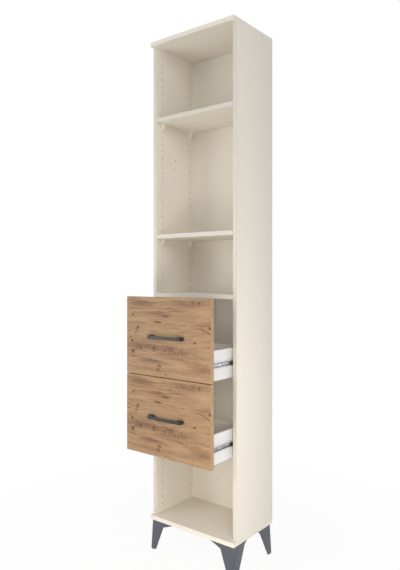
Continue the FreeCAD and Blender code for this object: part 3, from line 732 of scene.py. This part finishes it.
class CabinetSettings(bpy.types.PropertyGroup):
    """Colours and sizes of the cabinet's finishes, and the strength of its lights"""
    board: colour_setting("Board", "Facing of the cabinet's boards", 231, 225, 213)
    drawer_board: colour_setting("Drawer board", "Facing of the drawer sides", 226, 226, 225)
    # Drawer backs and bottoms are lighter and warmer than the drawer sides: painted light for the
    # dim insides of the drawers.
    drawer_inside: colour_setting("Drawer inside", "Drawer backs and bottoms", 250, 242, 233)
    oak_pale: colour_setting("Oak pale", "Pale tone of the oak decor", 169, 139, 106)
    oak_mid: colour_setting("Oak middle", "Main tone of the oak decor", 155, 125, 93)
    oak_dark: colour_setting("Oak dark", "Dark grain of the oak decor", 132, 101, 76)
    oak_brown: colour_setting("Oak brown", "Darkest grain of the oak decor", 98, 71, 52)
    oak_red: colour_setting("Oak red", "Reddish clouds of the oak decor", 146, 104, 75)
    oak_knot: colour_setting("Oak knots", "Knots of the oak decor", 72, 49, 35)
    handle: colour_setting("Handle coating", "Coating of the handles", 47, 44, 45)
    leg: colour_setting("Leg coating", "Coating of the legs", 87, 91, 99)
    zinc: colour_setting("Zinc", "Screws and balls", 244, 244, 244)
    # Runner zinc is darker than the screw zinc: painted shade, standing for the dark surroundings
    # the channels reflect.
    runner: colour_setting("Runner zinc", "Runner channels", 158, 158, 158)
    support: colour_setting("Shelf supports", "Moulded shelf supports", 242, 239, 231)
    black: colour_setting("Black plastic", "Ball cages and glides", 34, 34, 36)
    edge: length_setting("Board edge", "Softening of the side panels' edges", 0.0006)
    hole_radius: length_setting("Hole radius", "Radius of the shelf holes", 0.0025)
    hole_depth: length_setting("Hole depth", "Depth of the shelf holes", 0.012)
    hole_pitch: length_setting("Hole pitch", "Distance between shelf holes in a row", 0.032)
    hole_sides: IntProperty(name="Hole sides", description="Faces around a shelf hole",
                            default=20, min=6)
    ball_radius: length_setting("Ball radius", "Radius of the bearing balls", 0.00175)
    thread_pitch: length_setting("Thread pitch", "Distance between thread turns", 0.0012)
    recess: length_setting("Recess width", "Width of the arms of a screw's recess", 0.0009)
    left_lamp: power_setting("Left lamp", "Lamp in front, to the left", 27.5)
    high_lamp: power_setting("High lamp", "Lamp in front, high to the right", 23.4)
    side_lamp: power_setting("Side lamp", "Lamp at the right, towards the wall", 3.9)
    fill_lamp: power_setting("Fill lamp", "Low lamp in front, to the right", 3.7)
    low_lamp: power_setting("Low lamp", "Small lamp before the lowest opening", 5.1)
    back_lamp: power_setting("Back lamp", "Small low lamp beside the wall", 3.2)
    sky: FloatProperty(name="Sky", description="Strength of the light from all round",
                       default=0.42, min=0)


def settings(context):
    return context.scene.storage_cabinet


class CABINET_OT_side_panels(bpy.types.Operator):
    """Side panels with softened edges, the groove for the back and round shelf holes"""
    bl_idname = "cabinet.side_panels"
    bl_label = "Side panels"

    def blank(self, low, high, inner, outer, groove, softening):
        """The panel before drilling: its outline, raised, with its four long corners softened."""
        back_front, back_rear = (corner.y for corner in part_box("back_panel"))
        outline = ((inner, low.y), (outer, low.y), (outer, high.y), (inner, high.y),
                   (inner, back_rear + GROOVE_PLAY), (groove, back_rear + GROOVE_PLAY),
                   (groove, back_front - GROOVE_PLAY), (inner, back_front - GROOVE_PLAY))
        shape = bmesh.new()
        face = shape.faces.new([shape.verts.new((x, y, low.z)) for x, y in outline])
        raised = bmesh.ops.extrude_face_region(shape, geom=[face])["geom"]
        bmesh.ops.translate(shape, vec=(0, 0, high.z - low.z),
                            verts=[v for v in raised if isinstance(v, bmesh.types.BMVert)])
        corners = {(round(x, DECIMALS), round(y, DECIMALS)) for x, y in outline[:4]}
        upright = []
        for edge in shape.edges:
            start, end = (vertex.co for vertex in edge.verts)
            at_corner = (round(start.x, DECIMALS), round(start.y, DECIMALS)) in corners
            if at_corner and abs(start.z - end.z) > high.z / 2:
                upright.append(edge)
        bmesh.ops.bevel(shape, geom=upright, offset=softening, segments=2, affect="EDGES",
                        profile=0.5)
        bmesh.ops.recalc_face_normals(shape, faces=shape.faces)
        return shape

    def drill(self, piece, inner, chosen, finish):
        """Cuts the rows of shelf holes into the panel's inner face."""
        maker = Maker("Shelf holes")
        radius = maker.length("Hole radius", chosen.hole_radius)
        depth = maker.length("Hole depth", chosen.hole_depth)
        step = maker.vector(z=maker.length("Hole pitch", chosen.hole_pitch))
        sides = maker.input("Hole sides", "NodeSocketInt", chosen.hole_sides)
        groups = [(y, z, count) for y in HOLE_ROWS for z, count in HOLE_GROUPS]
        groups += [(MIDDLE_ROW, z, 2) for z in MIDDLE_PAIRS]
        rows = [maker.value("GeometryNodeMeshLine", {"mode": "OFFSET"}, {
            "Count": count, "Start Location": (inner, y, z), "Offset": step})
            for y, z, count in groups]
        drill = maker.cylinder(sides, radius, depth * 2)
        drills = maker.real(maker.copies(maker.joined(rows), drill, (0, math.pi / 2, 0)))
        maker.finished(maker.cut(maker.start(), drills), finish)
        maker.apply(piece)

    def execute(self, context):
        chosen = settings(context)
        for side in SIDES:
            node = f"{side}_side_panel"
            low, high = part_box(node)
            inner, outer = (high.x, low.x) if side == "left" else (low.x, high.x)
            groove = inner + math.copysign(GROOVE_DEPTH, outer - inner)
            # The side panels' edge bands take the darker share, with painted shade.
            finish = board_finish(node, chosen.board, low.y, drilled=(low.x, high.x))
            shape = self.blank(low, high, inner, outer, groove, chosen.edge)
            piece = solid_piece(node + "_drilled", shape, finish)
            self.drill(piece, inner, chosen, finish)
            stand_in(piece, node, "cabinet")
        return {"FINISHED"}


class CABINET_OT_boards(bpy.types.Operator):
    """Facing of the top, the bottom, the shelves and the back"""
    bl_idname = "cabinet.boards"
    bl_label = "Boards and back"

    def execute(self, context):
        colour = settings(context).board
        for node in CAPS + SHELVES:
            # Shelves take the darker band share as painted shade; the top and bottom keep nearly
            # the face's colour.
            share = CAP_BAND_SHARE if node in CAPS else SHADED_EDGE_BAND_SHARE
            coat(node, board_finish(node, colour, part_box(node)[0].y, share))
        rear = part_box("back_panel")[1].y
        coat("back_panel", thin_board_finish("back_board", colour, Y, rear, raw_above=True))
        return {"FINISHED"}


class CABINET_OT_supports(bpy.types.Operator):
    """Moulded supports under the loose shelves"""
    bl_idname = "cabinet.supports"
    bl_label = "Shelf supports"

    def execute(self, context):
        finish = plastic_finish("support_plastic", settings(context).support, roughness=0.4)
        for node in ("lower_shelf_supports", "upper_shelf_supports"):
            dressed(node, "cabinet", finish, SUPPORT_SOFTENING)
        return {"FINISHED"}


class CABINET_OT_legs(bpy.types.Operator):
    """Folded steel legs and their glides"""
    bl_idname = "cabinet.legs"
    bl_label = "Legs"

    def execute(self, context):
        chosen = settings(context)
        finish = coated_metal("leg_coating", chosen.leg)
        for node in ("front_left_leg", "front_right_leg", "back_left_leg", "back_right_leg"):
            dressed(node, "cabinet", finish, LEG_SOFTENING)
        glide_finish = plastic_finish("glide_plastic", chosen.black, roughness=0.5)
        dressed("leg_glides", "cabinet", glide_finish)
        return {"FINISHED"}


class CABINET_OT_fronts(bpy.types.Operator):
    """Oak decor on both drawer fronts, with the same picture of the wood on each"""
    bl_idname = "cabinet.fronts"
    bl_label = "Drawer fronts"

    def execute(self, context):
        chosen = settings(context)
        for drawer in DRAWERS:
            node = f"{drawer}_drawer_front"
            low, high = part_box(node)
            coat(node, oak_finish(f"{drawer}_oak_decor", chosen, (low + high) / 2,
                                  (high.x - low.x) / 2))
        return {"FINISHED"}


class CABINET_OT_drawer_boxes(bpy.types.Operator):
    """White boards of the drawer boxes, with the back level with the sides"""
    bl_idname = "cabinet.drawer_boxes"
    bl_label = "Drawer boxes"

    def execute(self, context):
        chosen = settings(context)
        white = board_finish("drawer_board", chosen.drawer_board)
        # The drawer backs and bottoms take the lighter inside colour, painted light.
        inside = board_finish("drawer_inside_board", chosen.drawer_inside)
        for drawer in DRAWERS:
            body = f"{drawer}_drawer"
            for side in SIDES:
                coat(f"{body}_{side}_side", white)
            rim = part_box(f"{body}_left_side")[1].z
            dressed(f"{body}_back", body, inside, DRAWER_BACK_SOFTENING,
                    rim=rim)
            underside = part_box(f"{body}_bottom")[0].z
            # The bottom's show face takes the same lighter inside colour, painted light.
            coat(f"{body}_bottom", thin_board_finish(
                f"{drawer}_bottom_board", chosen.drawer_inside, Z, underside, raw_above=False))
        return {"FINISHED"}


class CABINET_OT_handles(bpy.types.Operator):
    """Bow handles"""
    bl_idname = "cabinet.handles"
    bl_label = "Handles"

    def execute(self, context):
        finish = coated_metal("handle_coating", settings(context).handle)
        for drawer in DRAWERS:
            dressed(f"{drawer}_drawer_handle", f"{drawer}_drawer", finish,
                    HANDLE_SOFTENING, segments=3)
        return {"FINISHED"}


class CABINET_OT_runners(bpy.types.Operator):
    """Zinc-plated runner channels"""
    bl_idname = "cabinet.runners"
    bl_label = "Runners"

    def execute(self, context):
        # The darker runner zinc paints shade into the channels.
        finish = zinc_finish("runner_zinc", settings(context).runner, Y)
        for drawer in DRAWERS:
            body = f"{drawer}_drawer"
            for side in SIDES:
                dressed(f"{drawer}_{side}_cabinet_runner", "cabinet", finish)
                dressed(f"{body}_{side}_runner", body, finish)
        return {"FINISHED"}


class CABINET_OT_ball_cages(bpy.types.Operator):
    """Ball cages and their round bearing balls"""
    bl_idname = "cabinet.ball_cages"
    bl_label = "Ball cages"

    def balls(self, node, body, size, finish):
        """Puts a round ball at the middle of each of the node's solids."""
        piece = point_piece(node + "_round", [middle(group) for group in solids(node)])
        maker = Maker("Bearing balls")
        radius = maker.length("Ball radius", size)
        ball = maker.value("GeometryNodeMeshUVSphere", sockets={
            "Segments": BALL_SEGMENTS, "Rings": BALL_RINGS, "Radius": radius})
        maker.finished(maker.copies(maker.points(), ball), finish)
        maker.apply(piece)
        stand_in(piece, node, body)

    def execute(self, context):
        chosen = settings(context)
        cage_finish = plastic_finish("cage_plastic", chosen.black, roughness=0.42)
        ball_finish = zinc_finish("ball_steel", chosen.zinc, Y)
        for drawer in DRAWERS:
            for side in SIDES:
                body = f"{drawer}_{side}_cage"
                dressed(f"{drawer}_{side}_ball_cage", body, cage_finish)
                self.balls(f"{drawer}_{side}_balls", body, chosen.ball_radius, ball_finish)
        return {"FINISHED"}


class ScrewSizes:
    """What a turned screw in the frame measures, read from the rings of its corners."""

    def __init__(self, corners):
        spans = [max(c[i] for c in corners) - min(c[i] for c in corners) for i in (X, Y, Z)]
        axis = spans.index(max(spans))
        centre = middle(corners)
        rings = {}
        for corner in corners:
            away = corner - centre
            away[axis] = 0
            rings.setdefault(round(corner[axis], DECIMALS), []).append(away.length)
        places = sorted(rings)
        if min(rings[places[0]]) < min(rings[places[-1]]):
            places.reverse()
        head, seat, end = places[0], places[1], places[-1]
        self.head = centre.copy()
        self.head[axis] = head
        self.way_in = Vector()
        self.way_in[axis] = 1 if end > head else -1
        self.length = abs(end - head)
        self.head_height = abs(seat - head)
        self.head_radius = max(rings[head])
        self.seat_radius = max(rings[seat])
        self.shank_radius = min(rings[end])


class CABINET_OT_screws(bpy.types.Operator):
    """Threaded screws with cross recesses"""
    bl_idname = "cabinet.screws"
    bl_label = "Screws"

    def screw(self, maker, sizes, chosen):
        """One screw along Z: its head with the recess, its core, its tip and its thread."""
        head_radius = maker.length("Head radius", sizes.head_radius)
        seat_radius = maker.length("Seat radius", sizes.seat_radius)
        head_height = maker.length("Head height", sizes.head_height)
        shank_radius = maker.length("Shank radius", sizes.shank_radius)
        length = maker.length("Length", sizes.length)
        pitch = maker.length("Thread pitch", chosen.thread_pitch)
        recess = maker.length("Recess width", chosen.recess)
        core = shank_radius * CORE_SHARE
        crest = shank_radius * CREST_SHARE
        tip = shank_radius * TIP_SHARE
        arm = head_radius * ARM_SHARE

        head = maker.cone(HEAD_SIDES, head_radius, seat_radius, head_height)
        cross = [maker.value("GeometryNodeMeshCube", sockets={"Size": maker.vector(*size)})
                 for size in ((arm, recess, head_height), (recess, arm, head_height))]
        head = maker.cut(head, cross)
        shank = maker.cylinder(SHANK_SIDES, core, length - head_height - tip)
        shank = maker.lifted(shank, (length + head_height - tip) * 0.5)
        point = maker.lifted(maker.cone(SHANK_SIDES, core, core * TIP_END_SHARE, tip), length - tip)
        wound = length - head_height - tip - crest * 2
        coil = maker.value("GeometryNodeCurveSpiral", sockets={
            "Resolution": THREAD_STEPS, "Rotations": wound / pitch, "Start Radius": core,
            "End Radius": core, "Height": wound})
        ridge = maker.value("GeometryNodeCurvePrimitiveCircle", sockets={
            "Resolution": THREAD_SIDES, "Radius": crest})
        thread = maker.value("GeometryNodeCurveToMesh", sockets={
            "Curve": coil, "Profile Curve": ridge, "Fill Caps": True})
        thread = maker.lifted(thread, head_height + crest)
        return maker.joined([head, shank, point, thread])

    def screws(self, node, body, chosen, finish):
        """Puts a screw in the place of each of the node's solids."""
        sizes = [ScrewSizes(group) for group in solids(node)]
        piece = point_piece(node + "_cut", [size.head - size.way_in * HEAD_PROUD for size in sizes])
        ways = piece.data.attributes.new("way_in", "FLOAT_VECTOR", "POINT")
        for item, size in zip(ways.data, sizes):
            item.vector = size.way_in

        maker = Maker("Cross-recess screws")
        screw = self.screw(maker, sizes[0], chosen)
        way = maker.value("GeometryNodeInputNamedAttribute", {"data_type": "FLOAT_VECTOR"}, {
            "Name": "way_in"})
        turn = maker.value("FunctionNodeAlignRotationToVector", {"axis": "Z"}, {"Vector": way})
        maker.finished(maker.copies(maker.points(), screw, turn), finish)
        maker.apply(piece)
        stand_in(piece, node, body)

    def execute(self, context):
        chosen = settings(context)
        finish = zinc_finish("screw_zinc", chosen.zinc, X)
        for node in ("cabinet_runner_screws", "leg_screws"):
            self.screws(node, "cabinet", chosen, finish)
        for drawer in DRAWERS:
            body = f"{drawer}_drawer"
            for kind in ("runner_screws", "handle_screws"):
                self.screws(f"{body}_{kind}", body, chosen, finish)
        return {"FINISHED"}


class CABINET_OT_dowels(bpy.types.Operator):
    """Beech dowels"""
    bl_idname = "cabinet.dowels"
    bl_label = "Dowels"

    def execute(self, context):
        finish = beech_finish("beech")
        for node in NODES:
            if node.endswith("dowels"):
                coat(node, finish)
        return {"FINISHED"}


class CABINET_OT_stage(bpy.types.Operator):
    """Floor, sky, lamps and camera"""
    bl_idname = "cabinet.stage"
    bl_label = "Stage"

    def lamp(self, name, place, aim, width, colour, power):
        light = bpy.data.lights.new(name, "AREA")
        light.shape = "DISK"
        light.size = width
        light.energy = power
        light.color = colour
        lamp = new_object(name, light)
        lamp.location = place
        lamp.rotation_euler = (Vector(aim) - Vector(place)).to_track_quat("-Z", "Y").to_euler()

    def floor(self):
        """A floor that lights the cabinet as matt board does and looks almost white itself."""
        mesh = bpy.data.meshes.new("floor")
        corners = ((-1, -1), (1, -1), (1, 1), (-1, 1))
        mesh.from_pydata([(x * FLOOR_REACH, y * FLOOR_REACH, 0) for x, y in corners], [],
                         [(0, 1, 2, 3)])
        finish = Finish("floor_white")
        matt = finish.value("ShaderNodeBsdfDiffuse", sockets={"Color": FLOOR_TONE})
        glow = finish.value("ShaderNodeEmission", sockets={"Color": WHITE, "Strength": 1.0})
        plain = finish.ease(finish.distance(finish.point), *FLOOR_FADE, FLOOR_WHITE_SHARE, 1.0)
        seen_floor = finish.value("ShaderNodeMixShader", sockets={
            0: finish.looking_rays() * plain, 1: matt, 2: glow})
        finish.add("ShaderNodeOutputMaterial", sockets={"Surface": seen_floor})
        mesh.materials.append(finish.material)
        new_object("floor", mesh)

    def world(self, strength):
        """Even light from all round, which itself looks white."""
        world = bpy.data.worlds.new("studio")
        bpy.context.scene.world = world
        world.use_nodes = True
        world.node_tree.nodes.clear()
        work = Work(world.node_tree)
        soft = work.value("ShaderNodeBackground", sockets={"Color": WHITE, "Strength": strength})
        white = work.value("ShaderNodeBackground", sockets={"Color": WHITE, "Strength": 1.0})
        both = work.value("ShaderNodeMixShader", sockets={
            0: work.looking_rays(), 1: soft, 2: white})
        work.add("ShaderNodeOutputWorld", sockets={"Surface": both})

    def camera(self):
        lens = bpy.data.cameras.new("camera")
        lens.sensor_width = SENSOR
        lens.lens = FOCAL_PIXELS / PICTURE_HEIGHT * SENSOR
        lens.shift_y = HORIZON_SHIFT
        camera = new_object("camera", lens)
        camera.location = CAMERA_PLACE
        camera.rotation_euler = (math.pi / 2, 0, CAMERA_TURN)
        bpy.context.scene.camera = camera

    def execute(self, context):
        chosen = settings(context)
        context.scene.view_settings.view_transform = "Standard"
        self.floor()
        self.world(chosen.sky)
        for name, lamp in LAMPS.items():
            self.lamp(name, *lamp, getattr(chosen, name))
        self.camera()
        return {"FINISHED"}


OPERATORS = (
    CABINET_OT_side_panels, CABINET_OT_boards, CABINET_OT_supports, CABINET_OT_legs,
    CABINET_OT_fronts, CABINET_OT_drawer_boxes, CABINET_OT_handles, CABINET_OT_runners,
    CABINET_OT_ball_cages, CABINET_OT_screws, CABINET_OT_dowels, CABINET_OT_stage,
)


class CABINET_PT_panel(bpy.types.Panel):
    """Pieces and settings of the cabinet"""
    bl_idname = "CABINET_PT_panel"
    bl_label = "Storage cabinet"
    bl_space_type = "VIEW_3D"
    bl_region_type = "UI"
    bl_category = "Cabinet"

    def draw(self, context):
        for operator in OPERATORS:
            self.layout.operator(operator.bl_idname)
        for name in CabinetSettings.__annotations__:
            self.layout.prop(settings(context), name)


CLASSES = (CabinetSettings, *OPERATORS, CABINET_PT_panel)


def register():
    for kind in CLASSES:
        bpy.utils.register_class(kind)
    bpy.types.Scene.storage_cabinet = PointerProperty(type=CabinetSettings)


def unregister():
    del bpy.types.Scene.storage_cabinet
    for kind in reversed(CLASSES):
        bpy.utils.unregister_class(kind)


def main():
    register()
    for operator in OPERATORS:
        group, name = operator.bl_idname.split(".")
        getattr(getattr(bpy.ops, group), name)()


if __name__ == "__main__":
    main()
